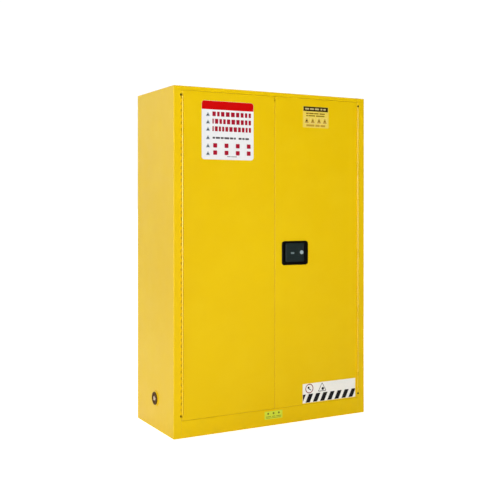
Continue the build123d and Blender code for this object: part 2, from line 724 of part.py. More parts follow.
def paddle_spring():
    """Torsion spring round the pin, with two straight legs."""
    leg_r = 0.5
    with BuildPart() as spring:
        with BuildLine(Plane(origin=(PIVOT_X, PIVOT_Y, SPRING_Z))) as coil:
            Helix(pitch=2.4, height=12.0, radius=3.6)
        with BuildSketch(Plane(origin=coil.line @ 0, z_dir=coil.line % 0)):
            Circle(0.6)
        sweep(path=coil.line, is_frenet=True)
        # leg to the back, towards the housing's floor
        with BuildSketch(plane_y(PIVOT_Y - 0.3)):
            with Locations((PIVOT_X + 3.62, SPRING_Z + 0.05)):
                Circle(leg_r)
        extrude(amount=-17)
        # leg to the left, along the paddle's back
        with BuildSketch(plane_x(PIVOT_X + 0.3)):
            with Locations((PIVOT_Y + 3.6, SPRING_Z + 10.6)):
                Circle(leg_r)
        extrude(amount=-16)
    finish(spring, "paddle_spring")


def lock_body():
    """Flanged sleeve in the paddle."""
    with BuildPart() as body:
        with BuildSketch(plane_y(PADDLE_FRONT_Y)):
            with Locations((LOCK_X, LOCK_Z)):
                Circle(10)
        extrude(amount=1.5)
        fillet(body.faces().sort_by(Axis.Y)[0].edges(), 0.7)
        with BuildSketch(plane_y(PADDLE_FRONT_Y)):
            with Locations((LOCK_X, LOCK_Z)):
                Circle(LOCK_R)
        extrude(amount=-19)
        with BuildSketch(plane_y(PADDLE_FRONT_Y - 3)):
            with Locations((LOCK_X, LOCK_Z)):
                Circle(PLUG_R + 0.05)
        extrude(amount=-25, mode=Mode.SUBTRACT)
    finish(body, "lock_body")


def lock_plug():
    with BuildPart() as plug:
        with BuildSketch(plane_y(PLUG_FRONT_Y)):
            with Locations((LOCK_X, LOCK_Z)):
                Circle(PLUG_R)
        extrude(amount=-(CAM_Y - PLUG_FRONT_Y))
        # keyway
        with BuildSketch(plane_y(PADDLE_FRONT_Y - 3)):
            with Locations((LOCK_X, LOCK_Z)):
                Rectangle(1.4, 6.4)
        extrude(amount=-9, mode=Mode.SUBTRACT)
        # square tail for the cam
        with BuildSketch(plane_y(CAM_Y)):
            with Locations((LOCK_X, LOCK_Z)):
                Rectangle(CAM_SQUARE, CAM_SQUARE)
        extrude(amount=-2.2)
    finish(plug, "lock_plug")


def lock_cam():
    """Flat arm that hangs down behind the lock."""
    arm_l = 14.0
    with BuildPart() as cam:
        with BuildSketch(plane_y(CAM_Y)):
            with Locations((LOCK_X, LOCK_Z)):
                Circle(6)
            with Locations((LOCK_X, LOCK_Z - arm_l / 2)):
                Rectangle(9, arm_l)
            with Locations((LOCK_X, LOCK_Z)):
                Rectangle(CAM_SQUARE, CAM_SQUARE, mode=Mode.SUBTRACT)
        extrude(amount=-2)
    finish(cam, "lock_cam")


def paddle_inlay():
    """Plain metal inlay in the sunken band."""
    with BuildPart() as inlay:
        with BuildSketch(plane_y(PADDLE_FRONT_Y + BAND_DEPTH)):
            with Locations((102, HANDLE_Z)):
                RectangleRounded(19, 9.5, 2)
        extrude(amount=0.8)
    finish(inlay, "paddle_inlay")


# ===========================================================================
# Three-point latch inside the right door
# ===========================================================================

def latch_rotor():
    """Disc with a slot for the stud of each rod."""
    # x and z from the pivot, angle of the slot
    stud_slots = (
        (ROTOR_ARM, ROTOR_OFFSET, ROTOR_SLOT_TILT),
        (-ROTOR_ARM, -ROTOR_OFFSET, ROTOR_SLOT_TILT),
        (-ROTOR_OFFSET, ROTOR_ARM, 90 + ROTOR_SLOT_TILT),
    )
    with BuildPart() as rotor:
        with BuildSketch(plane_y(ROTOR_FRONT_Y)):
            with Locations((ROTOR_X, ROTOR_Z)):
                Circle(25)
                Circle(ROTOR_PIVOT_R + 0.06, mode=Mode.SUBTRACT)
            for x, z, angle in stud_slots:
                with Locations((ROTOR_X + x, ROTOR_Z + z)):
                    SlotOverall(10.5, 8.2, rotation=angle, mode=Mode.SUBTRACT)
        extrude(amount=-ROTOR_T)
        # drive lug pushed by the paddle's finger
        with BuildSketch(plane_y(ROTOR_FRONT_Y)):
            with Locations((ROTOR_X + 6, ROTOR_Z - 17)):
                Circle(3)
        extrude(amount=4)
    finish(rotor, "latch_rotor")


def rotor_pivot():
    # start, radius, length forward: pin, shoulder behind the rotor, head before it
    steps = (
        (DOOR_LINER_Y, ROTOR_PIVOT_R, 9),
        (DOOR_LINER_Y, 8, 4.5),
        (ROTOR_FRONT_Y - 0.2, 7, 2),
    )
    with BuildPart() as pivot:
        for y, radius, length in steps:
            with BuildSketch(plane_y(y)):
                with Locations((ROTOR_X, ROTOR_Z)):
                    Circle(radius)
            extrude(amount=length)
    finish(pivot, "rotor_pivot")


def latch_rod(name, x0, x1, z0, z1, axis, end, stud):
    """Flat bar with a stud; the tip is the first (0) or last (-1) end along the
    sketch axis."""
    with BuildPart() as rod:
        with BuildSketch(plane_y(ROD_Y1)) as bar:
            with Locations(((x0 + x1) / 2, (z0 + z1) / 2)):
                Rectangle(x1 - x0, z1 - z0)
            chamfer(bar.vertices().group_by(axis)[end], 2.5)
        extrude(amount=ROD_Y1 - ROD_Y0)
        with BuildSketch(plane_y(ROD_Y0)):
            with Locations(stud):
                Circle(ROD_STUD_R)
        extrude(amount=4)
    finish(rod, name)


def latch_rods():
    latch_rod("top_rod", TOP_ROD_X - ROD_HALF, TOP_ROD_X + ROD_HALF,
              ROTOR_Z + 1.5, HEADER_Z - 1, Axis.Y, -1,
              stud=(TOP_ROD_X, ROTOR_Z + ROTOR_OFFSET))
    latch_rod("bottom_rod", BOTTOM_ROD_X - ROD_HALF, BOTTOM_ROD_X + ROD_HALF,
              SILL_Z + 1, ROTOR_Z - 1.5, Axis.Y, 0,
              stud=(BOTTOM_ROD_X, ROTOR_Z - ROTOR_OFFSET))
    latch_rod("centre_bolt", DOOR_IN - 1, ROTOR_X - 2,
              BOLT_Z - ROD_HALF, BOLT_Z + ROD_HALF, Axis.X, 0,
              stud=(ROTOR_X - ROTOR_OFFSET, BOLT_Z))


def rod_guides():
    """Slotted blocks welded to the door liner."""
    slot_half = ROD_HALF + GUIDE_CLEAR
    slot_y = (ROD_Y0 - GUIDE_CLEAR_Y, ROD_Y1 + GUIDE_CLEAR_Y)
    places = ((TOP_ROD_X, 1590), (TOP_ROD_X, 1010), (BOTTOM_ROD_X, 690), (BOTTOM_ROD_X, 120))
    with BuildPart() as guides:
        for x, z in places:
            block(x - 12, x + 12, GUIDE_Y, DOOR_LINER_Y, z - 10, z + 10)
            cut(x - slot_half, x + slot_half, *slot_y, z - 11, z + 11)
        block(22, 42, GUIDE_Y, DOOR_LINER_Y, BOLT_Z - 12, BOLT_Z + 12)
        cut(21, 43, *slot_y, BOLT_Z - slot_half, BOLT_Z + slot_half)
    finish(guides, "rod_guides")


def rod_strikes():
    """Strike plates on the header and the sill."""
    header_z = HEADER_Z + SHEET
    sill_z = SILL_Z - SHEET
    with BuildPart() as strikes:
        block(TOP_ROD_X - 20, TOP_ROD_X + 20, -208, STOP_Y, header_z, header_z + STRIKE_T)
        rod_passage(TOP_ROD_X, HEADER_Z, HEADER_Z + 5)
        block(BOTTOM_ROD_X - 20, BOTTOM_ROD_X + 20, -208, STOP_Y, sill_z - STRIKE_T, sill_z)
        rod_passage(BOTTOM_ROD_X, SILL_Z - 5, SILL_Z)
    finish(strikes, "rod_strikes")


def centre_strike():
    """Strike plate inside the left door's meeting edge."""
    face_x = -(DOOR_IN + 2 * SHEET)
    with BuildPart() as strike:
        block(face_x - STRIKE_T, face_x, -210, DOOR_LINER_Y, BOLT_Z - 18, BOLT_Z + 18)
        bolt_passage(face_x - STRIKE_T - 1, face_x + 1, PASSAGE_LINER_Y)
    finish(strike, "centre_strike")


# ===========================================================================
# Vents
# ===========================================================================

def vent_collar(name, side, vent_z):
    """Flanged tube through both walls."""
    with BuildPart() as collar:
        with BuildSketch(plane_x(side * OUTER_X)):
            with Locations((VENT_Y, vent_z)):
                Circle(VENT_FLANGE_R)
        extrude(amount=side * VENT_FLANGE_T)
        fillet(outermost(collar, side).edges(), 1.0)
        with BuildSketch(plane_x(side * OUTER_X)):
            with Locations((VENT_Y, vent_z)):
                Circle(VENT_TUBE_R)
        extrude(amount=-side * (OUTER_X - LINER_X + 2))
        with BuildSketch(plane_x(side * (OUTER_X + 5))):
            with Locations((VENT_Y, vent_z)):
                Circle(VENT_BORE_R)
        extrude(amount=-side * 60, mode=Mode.SUBTRACT)
    finish(collar, name)


def flame_arrestors():
    """Perforated discs held in the collars."""
    with BuildPart() as arrestors:
        for side, vent_z in VENTS:
            with BuildSketch(plane_x(side * (LINER_X + 6))):
                with Locations((VENT_Y, vent_z)):
                    Circle(VENT_BORE_R)
                    with HexLocations(2.9, 7, 7):
                        Circle(1.7, mode=Mode.SUBTRACT)
            extrude(amount=-side * 2)
    finish(arrestors, "flame_arrestors")


def vent_cap(name, side, vent_z):
    """Screw-in bung with a sunken face."""
    seat_x = OUTER_X + VENT_FLANGE_T
    with BuildPart() as cap:
        with BuildSketch(plane_x(side * seat_x)):
            with Locations((VENT_Y, vent_z)):
                Circle(31)
        extrude(amount=side * 4)
        fillet(outermost(cap, side).edges(), 1.5)
        with BuildSketch(plane_x(side * seat_x)):
            with Locations((VENT_Y, vent_z)):
                Circle(VENT_BORE_R - 0.06)
        extrude(amount=-side * 16)
        # hollow from the inner end
        with BuildSketch(plane_x(side * (OUTER_X - 14))):
            with Locations((VENT_Y, vent_z)):
                Circle(22)
        extrude(amount=side * 12, mode=Mode.SUBTRACT)
        # sunken face with a square driving boss
        with BuildSketch(plane_x(side * (OUTER_X + 8))):
            with Locations((VENT_Y, vent_z)):
                Circle(23)
                Rectangle(18, 18, mode=Mode.SUBTRACT)
        extrude(amount=-side * 4, mode=Mode.SUBTRACT)
    finish(cap, name)


# ===========================================================================
# Earth stud, low on the back
# ===========================================================================

def ground_stud():
    """Hexagon head inside the wall, shank through the sheet, and a groove behind
    the nut that takes an earth lug."""
    groove_y = BACK_Y + NUT_H
    tip_l = STUD_OUT - NUT_H - GROOVE_L
    with BuildPart() as stud:
        with BuildSketch(plane_y(BACK_Y - SHEET)):
            with Locations((STUD_X, STUD_Z)):
                RegularPolygon(radius=STUD_HEX, side_count=6, major_radius=False)
        extrude(amount=5.5)
        # start, radius, length backwards: shank, groove, tip
        for y, radius, length in (
            (BACK_Y - SHEET, STUD_R, SHEET + NUT_H),
            (groove_y, STUD_R - 0.6, GROOVE_L),
            (groove_y + GROOVE_L, STUD_R, tip_l),
        ):
            with BuildSketch(plane_y(y)):
                with Locations((STUD_X, STUD_Z)):
                    Circle(radius)
            extrude(amount=-length)
        chamfer(stud.faces().sort_by(Axis.Y)[-1].edges(), 0.5)
    finish(stud, "ground_stud")


def ground_nut():
    """Thin nut that clamps the stud to the sheet."""
    with BuildPart() as nut:
        with BuildSketch(plane_y(BACK_Y)):
            with Locations((STUD_X, STUD_Z)):
                RegularPolygon(radius=STUD_HEX, side_count=6, major_radius=False)
                Circle(STUD_R, mode=Mode.SUBTRACT)
        extrude(amount=-NUT_H)
    finish(nut, "ground_nut")


def sign_plate(name, x0, x1, z0, z1, corner_r):
    """Thin plain sticker on the front."""
    with BuildPart() as plate:
        with BuildSketch(plane_y(FRONT_Y)):
            with Locations(((x0 + x1) / 2, (z0 + z1) / 2)):
                RectangleRounded(x1 - x0, z1 - z0, corner_r)
        extrude(amount=LABEL_T)
    finish(plate, name)


# ===========================================================================
# Build everything
# ===========================================================================

side_panel("side_panel_left", LEFT, VENT_LOW_Z)
side_panel("side_panel_right", RIGHT, VENT_HIGH_Z)
back_panel()
top_panel()
header_rail()
sill_rail()
bottom_panel()

inner_side("inner_side_left", LEFT, VENT_LOW_Z)
inner_side("inner_side_right", RIGHT, VENT_HIGH_Z)
inner_back()
inner_top()
sump_pan()

standards("standards_left", LEFT)
standards("standards_right", RIGHT)
shelf_clips("shelf_clips_upper", SHELF_UPPER_Z)
shelf_clips("shelf_clips_lower", SHELF_LOWER_Z)
shelf("upper_shelf", SHELF_UPPER_Z)
shelf("lower_shelf", SHELF_LOWER_Z)

foot_nuts()
front_left = foot_front_left()
front_right = mirrored(front_left, Plane.YZ, "foot_front_right")
mirrored(front_left, Plane.XZ, "foot_rear_left")
mirrored(front_right, Plane.XZ, "foot_rear_right")

frame_leaf = left_hinge_leaf("left_hinge_frame_leaf", -(JAMB_X - LEAF_T / 2),
                             bore_r=PIN_R, first_gap=1)
door_leaf = left_hinge_leaf("left_hinge_door_leaf", -(DOOR_X + LEAF_T / 2),
                            bore_r=PIN_R + PIN_CLEAR, first_gap=0)
hinge_pin = left_hinge_pin()
mirrored(frame_leaf, Plane.YZ, "right_hinge_frame_leaf")
mirrored(door_leaf, Plane.YZ, "right_hinge_door_leaf")
mirrored(hinge_pin, Plane.YZ, "right_hinge_pin")

door_skin("left_door_skin", LEFT)
door_liner("left_door_liner", LEFT)
door_skin("right_door_skin", RIGHT)
door_liner("right_door_liner", RIGHT)

handle_housing()
paddle()
paddle_pin()
paddle_spring()
lock_body()
lock_plug()
lock_cam()
paddle_inlay()

latch_rotor()
rotor_pivot()
latch_rods()
rod_guides()
rod_strikes()
centre_strike()

vent_collar("vent_collar_left", LEFT, VENT_LOW_Z)
vent_collar("vent_collar_right", RIGHT, VENT_HIGH_Z)
flame_arrestors()
vent_cap("vent_cap_left", LEFT, VENT_LOW_Z)
vent_cap("vent_cap_right", RIGHT, VENT_HIGH_Z)

ground_stud()
ground_nut()

for label in LABELS:
    sign_plate(*label)
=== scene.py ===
"""Looks of a yellow two-door steel safety cabinet, and a pale studio to show it in.

The cabinet stands on z = 0 with its doors facing -Y; +X is to the right seen from the front.
The CAD pieces keep their meshes and get materials; the four labels are built here.
"""
import math

import bpy
import bmesh
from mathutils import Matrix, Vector


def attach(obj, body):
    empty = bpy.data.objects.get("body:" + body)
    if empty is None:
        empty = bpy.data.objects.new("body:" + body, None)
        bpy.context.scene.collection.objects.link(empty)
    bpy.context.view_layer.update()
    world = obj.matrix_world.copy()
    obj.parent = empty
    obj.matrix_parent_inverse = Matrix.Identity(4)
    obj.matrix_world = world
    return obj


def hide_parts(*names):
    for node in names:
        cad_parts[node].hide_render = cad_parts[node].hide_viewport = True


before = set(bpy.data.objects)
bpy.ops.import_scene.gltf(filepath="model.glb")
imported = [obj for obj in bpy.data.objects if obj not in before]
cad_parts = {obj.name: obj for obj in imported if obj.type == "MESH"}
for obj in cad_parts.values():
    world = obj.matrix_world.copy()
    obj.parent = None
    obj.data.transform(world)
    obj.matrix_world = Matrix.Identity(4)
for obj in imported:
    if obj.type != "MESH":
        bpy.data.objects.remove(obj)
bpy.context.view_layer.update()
scene = bpy.context.scene


# ---------------------------------------------------------------------------
# Node helpers
# ---------------------------------------------------------------------------
class Nodes:
    """Adds nodes to the tree of a material or world; most calls return an output socket."""

    def __init__(self, owner):
        owner.use_nodes = True
        self.tree = owner.node_tree
        self.tree.nodes.clear()

    def put(self, socket, value):
        """Links or sets an input; None leaves it alone, three numbers make an opaque colour."""
        if value is None:
            return
        if isinstance(value, bpy.types.NodeSocket):
            self.tree.links.new(value, socket)
            return
        if socket.type == "RGBA" and len(value) == 3:
            value = (*value, 1.0)
        socket.default_value = value

    def node(self, kind, inputs=None, **props):
        new = self.tree.nodes.new(kind)
        for prop, value in props.items():
            setattr(new, prop, value)
        for key, value in (inputs or {}).items():
            self.put(new.inputs[key], value)
        return new

    def ramp(self, value, span, to=(0.0, 1.0), smooth=False):
        """Spreads the values in span over to."""
        new = self.node("ShaderNodeMapRange", {
            "Value": value, "From Min": span[0], "From Max": span[1],
            "To Min": to[0], "To Max": to[1]})
        if smooth:
            new.interpolation_type = "SMOOTHSTEP"
        return new.outputs["Result"]

    def math(self, operation, a, b=0.0):
        return self.node("ShaderNodeMath", {0: a, 1: b}, operation=operation).outputs[0]

    def times(self, a, b):
        return self.math("MULTIPLY", a, b)

    def dot(self, a, b):
        new = self.node("ShaderNodeVectorMath", {0: a, 1: b}, operation="DOT_PRODUCT")
        return new.outputs["Value"]


class Material(Nodes):
    """A Principled material whose textures use object coordinates."""

    def __init__(self, name):
        self.material = bpy.data.materials.new(name)
        super().__init__(self.material)
        self.bsdf = self.node("ShaderNodeBsdfPrincipled")
        self.node("ShaderNodeOutputMaterial", {0: self.bsdf.outputs[0]})
        self.object_xyz = self.node("ShaderNodeTexCoord").outputs["Object"]

    def coords(self, scale=(1, 1, 1), location=(0, 0, 0)):
        inputs = {"Vector": self.object_xyz, "Scale": scale, "Location": location}
        return self.node("ShaderNodeMapping", inputs).outputs[0]

    def split(self, vector=None):
        """The X, Y and Z outputs of a vector, by default the object coordinates."""
        return self.node("ShaderNodeSeparateXYZ", {0: vector or self.object_xyz}).outputs

    def noise(self, scale, detail=2.0, rough=0.5, stretch=(1, 1, 1)):
        return self.node("ShaderNodeTexNoise", {
            "Vector": self.coords(stretch), "Scale": scale, "Detail": detail,
            "Roughness": rough, "Distortion": 0.0}).outputs["Fac"]

    def patches(self, scale, span, to=(0.0, 1.0), detail=3.0, rough=0.6, stretch=(1, 1, 1)):
        """Noise whose values in span are spread over to."""
        return self.ramp(self.noise(scale, detail, rough, stretch), span, to)

    def mix(self, factor, a, b):
        return self.node("ShaderNodeMix", {0: factor, 6: a, 7: b},
                         data_type="RGBA", blend_type="MIX").outputs[2]

    def radius(self, a, b):
        """Distance from an axis, from the two offsets across it."""
        return self.math("SQRT", self.math("ADD", self.times(a, a), self.times(b, b)))

    def rounding(self, radius):
        return self.node("ShaderNodeBevel", {"Radius": radius}, samples=4).outputs[0]

    def edge(self, radius):
        """(mask of edges, rounded normal)."""
        normal = self.rounding(radius)
        face_normal = self.node("ShaderNodeNewGeometry").outputs["Normal"]
        return self.ramp(self.dot(normal, face_normal), span=(0.995, 0.86)), normal

    def bump(self, height, distance, strength, normal=None):
        return self.node("ShaderNodeBump", {
            "Distance": distance, "Strength": strength,
            "Height": height, "Normal": normal}).outputs[0]

    def done(self, color, rough, metal=0.0, normal=None, **extra):
        """Fills the Principled inputs; underscores in extra names stand for spaces."""
        values = {"Base Color": color, "Roughness": rough, "Metallic": metal,
                  "Normal": normal}
        values.update((name.replace("_", " "), value) for name, value in extra.items())
        for name, value in values.items():
            self.put(self.bsdf.inputs[name], value)
        return self.material


def tint(color, gain, lift=0.0):
    return tuple(c * gain + lift for c in color)


# ---------------------------------------------------------------------------
# Materials of the cabinet
# ---------------------------------------------------------------------------
YELLOW = (0.800, 0.533, 0.0004)
DEEP = (0.775, 0.503, 0.0004)
PALE = (0.830, 0.578, 0.0060)
# painted shade for the hollow inside the folded side panels
FOLD_SHADE = (0.040, 0.020, 0.004)
# inside of the folded side panels: |x| and y limits, metres
FOLD_X = (0.5044, 0.5440)
FOLD_Y = (-0.2291, 0.2280)
GRIME_TOP = 0.16                 # height where the low grime ends, metres
LOCK_CENTRE = (0.1545, -0.2345, 0.8528)
BUNG_Y = -0.008
BUNG_Z = (0.1485, 1.5015)        # lower and upper vents


def powder_coat(name, rough=0.38, peel=1.0, specular=0.22, dusty=True, rounding=0.0012,
                sheen=0.0, hollow=False):
    """Semi-gloss coat: orange peel, slow waviness, slight tone drift, pale patches painted as a
    soft reflection, edges worn and painted paler as a highlight, shade painted inside the
    folds.
    """
    mat = Material(name)
    drift = mat.patches(scale=1.6, rough=0.55, span=(0.32, 0.68))
    col = mat.mix(drift, YELLOW, DEEP)
    # pale cloudy patches: a painted reflection of the room, mixed into the coat colour
    painted_reflection = mat.patches(scale=7.0, detail=4.0, span=(0.45, 0.75), to=(0.0, 0.35))
    col = mat.mix(painted_reflection, col, PALE)
    speck = mat.patches(scale=420.0, detail=2.0, rough=0.5, span=(0.70, 0.78), to=(0.0, 0.10))
    col = mat.mix(speck, col, tint(DEEP, gain=0.72))
    mask, normal = mat.edge(rounding)
    # edges painted paler: partly wear, partly a painted highlight; the wear also dulls the
    # gloss
    worn_and_highlit = mat.times(mask, mat.patches(scale=38.0, detail=4.0, span=(0.42, 0.66)))
    col = mat.mix(mat.times(worn_and_highlit, 0.45), col, PALE)
    gloss = mat.patches(scale=11.0, detail=4.0, span=(0.3, 0.7),
                        to=(rough - 0.035, rough + 0.045))
    if dusty:
        low = mat.ramp(mat.split()["Z"], span=(0.0, GRIME_TOP), to=(1.0, 0.0), smooth=True)
        dirt = mat.patches(scale=26.0, detail=5.0, rough=0.65, span=(0.45, 0.75),
                           to=(0.0, 0.14))
        grime = mat.times(low, dirt)
        col = mat.mix(grime, col, tint(DEEP, gain=0.62, lift=0.02))
        gloss = mat.math("ADD", gloss, mat.times(grime, 0.2))
    if hollow:
        # inside the fold the colour is painted dark as shade in the hollow
        xyz = mat.split()
        across = mat.math("ABSOLUTE", xyz["X"])
        inside = mat.math("GREATER_THAN", across, FOLD_X[0])
        for operation, value, limit in (("LESS_THAN", across, FOLD_X[1]),
                                        ("GREATER_THAN", xyz["Y"], FOLD_Y[0]),
                                        ("LESS_THAN", xyz["Y"], FOLD_Y[1])):
            inside = mat.times(inside, mat.math(operation, value, limit))
        col = mat.mix(inside, col, FOLD_SHADE)
    gloss = mat.math("ADD", gloss, mat.times(worn_and_highlit, 0.12))
    waves = mat.noise(scale=2.4, detail=1.0, rough=0.4, stretch=(1, 1, 0.6))
    normal = mat.bump(waves, distance=0.004, strength=0.10, normal=normal)
    normal = mat.bump(mat.noise(scale=620.0), distance=0.00035, strength=0.22 * peel,
                      normal=normal)
    extra = {}
    if sheen:
        # the folded edges carry a thicker, glossier coat
        wide, wide_normal = mat.edge(0.0045)
        extra = dict(Coat_Weight=mat.times(wide, sheen), Coat_Roughness=0.30,
                     Coat_Normal=wide_normal)
    return mat.done(col, gloss, normal=normal, Specular_IOR_Level=specular, **extra)


def galvanised(name, tone=(0.62, 0.64, 0.66)):
    """Hot-dip galvanised sheet with spangles."""
    mat = Material(name)
    cells = mat.node("ShaderNodeTexVoronoi", {
        "Vector": mat.coords(), "Scale": 75.0, "Randomness": 1.0})
    # one random number per spangle each for shade, gloss and height
    shade, gloss, height = mat.node("ShaderNodeSeparateColor",
                                    {0: cells.outputs["Color"]}).outputs
    shade = mat.ramp(shade, span=(0.0, 1.0))
    col = mat.mix(shade, tint(tone, gain=0.78), tint(tone, gain=1.10))
    frost = mat.patches(scale=160.0, detail=4.0, span=(0.4, 0.7), to=(0.0, 0.25))
    col = mat.mix(frost, col, tint(tone, gain=0.9))
    mask, normal = mat.edge(0.001)
    # edges painted paler as a highlight
    col = mat.mix(mat.times(mask, 0.35), col, (0.80, 0.81, 0.83))
    gloss = mat.ramp(gloss, span=(0.0, 1.0), to=(0.34, 0.55))
    normal = mat.bump(height, distance=0.0003, strength=0.15, normal=normal)
    return mat.done(col, gloss, metal=0.9, normal=normal)


def plated(name, tone=(0.62, 0.62, 0.60), rough=0.32, streak=(1, 1, 40), metal=1.0, glint=0.4):
    """Zinc-plated or bright metal with drawing marks; glint is how far edges brighten."""
    mat = Material(name)
    marks = mat.patches(scale=60.0, span=(0.3, 0.7), stretch=streak)
    col = mat.mix(marks, tint(tone, gain=0.86), tint(tone, gain=1.08))
    blot = mat.patches(scale=45.0, detail=4.0, span=(0.5, 0.75), to=(0.0, 0.4))
    warm_tone = (tone[0] * 0.98, tone[1] * 0.93, tone[2] * 0.80)
    col = mat.mix(blot, col, warm_tone)
    mask, normal = mat.edge(0.0006)
    col = mat.mix(mat.times(mask, glint), col, (0.82, 0.82, 0.83))
    gloss = mat.ramp(marks, span=(0.0, 1.0), to=(rough - 0.05, rough + 0.10))
    normal = mat.bump(mat.noise(scale=900.0, stretch=streak), distance=0.0001,
                      strength=0.15, normal=normal)
    return mat.done(col, gloss, metal=metal, normal=normal)


def moulded(name, base, rough, specular, grain=1400.0):
    """Moulded plastic with a fine spark-eroded grain and rubbed edges, painted paler partly as
    a highlight.
    """
    mat = Material(name)
    tone = mat.patches(scale=22.0, span=(0.35, 0.68))
    col = mat.mix(tone, base, tint(base, gain=1.35, lift=0.002))
    mask, normal = mat.edge(0.0012)
    # rubbed edges painted paler: partly wear, partly a painted highlight; the rubbing also adds
    # gloss
    rubbed_and_highlit = mat.times(mask, mat.patches(scale=90.0, span=(0.4, 0.65)))
    col = mat.mix(mat.times(rubbed_and_highlit, 0.5), col, tint(base, gain=2.2, lift=0.03))
    gloss = mat.patches(scale=35.0, detail=4.0, span=(0.3, 0.7),
                        to=(rough - 0.05, rough + 0.06))
    gloss = mat.math("ADD", gloss, mat.times(rubbed_and_highlit, -0.08))
    normal = mat.bump(mat.noise(scale=grain, rough=0.6), distance=0.00015,
                      strength=0.25, normal=normal)
    return mat.done(col, gloss, normal=normal, Specular_IOR_Level=specular)


def chrome(name):
    """Turned and plated lock face: fine rings about the lock's own Y axis."""
    mat = Material(name)
    xyz = mat.split(mat.coords(location=tint(LOCK_CENTRE, gain=-1)))
    phase = mat.times(mat.radius(xyz["X"], xyz["Z"]), 9000.0)    # radians per metre
    rings = mat.math("SINE", phase)
    col = mat.mix(mat.ramp(rings, span=(-1, 1)), (0.52, 0.67, 0.70), (0.62, 0.76, 0.79))
    smear = mat.patches(scale=120.0, span=(0.4, 0.7))
    col = mat.mix(mat.times(smear, 0.3), col, (0.50, 0.60, 0.62))
    normal = mat.rounding(0.0006)
    gloss = mat.ramp(smear, span=(0, 1), to=(0.38, 0.48))
    normal = mat.bump(rings, distance=0.00002, strength=0.12, normal=normal)
    return mat.done(col, gloss, metal=0.45, normal=normal)


def bung(name):
    """Dark threaded bung with a paler middle painted as a reflection, about either vent's axis.
    """
    mat = Material(name)
    xyz = mat.split()
    y_off = mat.math("SUBTRACT", xyz["Y"], BUNG_Y)
    nearest = mat.math("MINIMUM", *[
        mat.radius(y_off, mat.math("SUBTRACT", xyz["Z"], z)) for z in BUNG_Z])
    ragged = mat.patches(scale=70.0, detail=4.0, rough=0.65, span=(0.3, 0.7),
                         to=(-0.0035, 0.0035))
    middle = mat.ramp(mat.math("ADD", nearest, ragged), span=(0.0105, 0.0135), to=(1.0, 0.0))
    body = mat.mix(mat.patches(scale=40.0, detail=4.0, span=(0.35, 0.7)),
                   (0.060, 0.023, 0.0008), (0.125, 0.056, 0.0020))
    # the paler middle is a painted reflection; the same mask makes it half metallic
    centre_reflection = mat.mix(mat.patches(scale=160.0, span=(0.35, 0.7)),
                    (0.55, 0.42, 0.30), (0.78, 0.66, 0.50))
    col = mat.mix(mat.times(middle, 0.9), body, centre_reflection)
    mask, normal = mat.edge(0.0010)
    # edges painted a paler brown as a highlight
    col = mat.mix(mat.times(mask, 0.30), col, (0.26, 0.16, 0.04))
    gloss = mat.patches(scale=60.0, span=(0.3, 0.7), to=(0.36, 0.50))
    normal = mat.bump(mat.noise(scale=900.0, rough=0.6), distance=0.00015,
                      strength=0.25, normal=normal)
    return mat.done(col, gloss, metal=mat.times(middle, 0.5), normal=normal,
                    Specular_IOR_Level=0.07)


def print_film(name, base):
    """Printed vinyl film: very fine ink mottle and a slightly uneven gloss."""
    mat = Material(name)
    mottle = mat.patches(scale=180.0, detail=4.0, span=(0.35, 0.7))
    col = mat.mix(mat.times(mottle, 0.6), base, tint(base, gain=0.93))
    age = mat.patches(scale=9.0, span=(0.4, 0.75), to=(0.0, 0.25))
    col = mat.mix(age, col, tint(base, gain=0.95, lift=0.01))
    gloss = mat.patches(scale=24.0, detail=4.0, span=(0.3, 0.7), to=(0.33, 0.45))
    normal = mat.bump(mat.noise(scale=700.0), distance=0.00005, strength=0.2)
    return mat.done(col, gloss, normal=normal, Specular_IOR_Level=0.12)


SMOOTH_ANGLE = math.radians(32)  # steeper edges stay sharp
# material, names of the CAD pieces that wear it
FINISHES = [
    (powder_coat("yellow_powder_coat"),
     """back_panel top_panel header_rail sill_rail bottom_panel
     vent_collar_left vent_collar_right"""),
    (powder_coat("yellow_powder_coat_shell", sheen=0.6, hollow=True),
     "side_panel_left side_panel_right"),
    (powder_coat("yellow_powder_coat_inside", rough=0.46, dusty=False),
     """inner_side_left inner_side_right inner_back inner_top sump_pan
     left_door_liner right_door_liner"""),
    (powder_coat("yellow_powder_coat_door", sheen=0.5), "left_door_skin right_door_skin"),
    (powder_coat("yellow_powder_coat_hinge", rough=0.28, peel=0.5, specular=0.60,
                 dusty=False, rounding=0.0006),
     """left_hinge_frame_leaf right_hinge_frame_leaf
     left_hinge_door_leaf right_hinge_door_leaf"""),
    (galvanised("galvanised_sheet"), "upper_shelf lower_shelf standards_left standards_right"),
    (plated("zinc_plate"),
     """shelf_clips_upper shelf_clips_lower foot_nuts foot_front_left foot_front_right
     foot_rear_left foot_rear_right latch_rotor top_rod bottom_rod rod_guides rod_strikes
     centre_strike lock_cam left_hinge_pin right_hinge_pin"""),
    (plated("zinc_plate_turned", streak=(1, 40, 1), rough=0.28), "rotor_pivot centre_bolt"),
    (plated("oiled_spring_steel", tone=(0.050, 0.052, 0.055), rough=0.45, streak=(1, 1, 1),
            glint=0.12), "paddle_spring paddle_pin"),
    (plated("brass", tone=(0.72, 0.53, 0.24), rough=0.30, streak=(1, 1, 1)),
     "flame_arrestors ground_stud ground_nut"),
    (moulded("black_moulding", base=(0.0012, 0.0010, 0.0008), rough=0.42, specular=0.18),
     "handle_housing"),
    (moulded("slate_moulding", base=(0.0100, 0.0180, 0.0175), rough=0.38, specular=0.32,
             grain=1500.0), "paddle"),
    (plated("satin_inlay", tone=(0.30, 0.40, 0.42), rough=0.42, streak=(30, 1, 1), metal=0.6),
     "paddle_inlay"),
    (chrome("turned_chrome"), "lock_body lock_plug"),
    (bung("dark_bung"), "vent_cap_left vent_cap_right"),
]
for material, pieces in FINISHES:
    for piece in pieces.split():
        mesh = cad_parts[piece].data
        mesh.materials.clear()
        mesh.materials.append(material)
        mesh.polygons.foreach_set("use_smooth", [True] * len(mesh.polygons))
        mesh.set_sharp_from_angle(angle=SMOOTH_ANGLE)


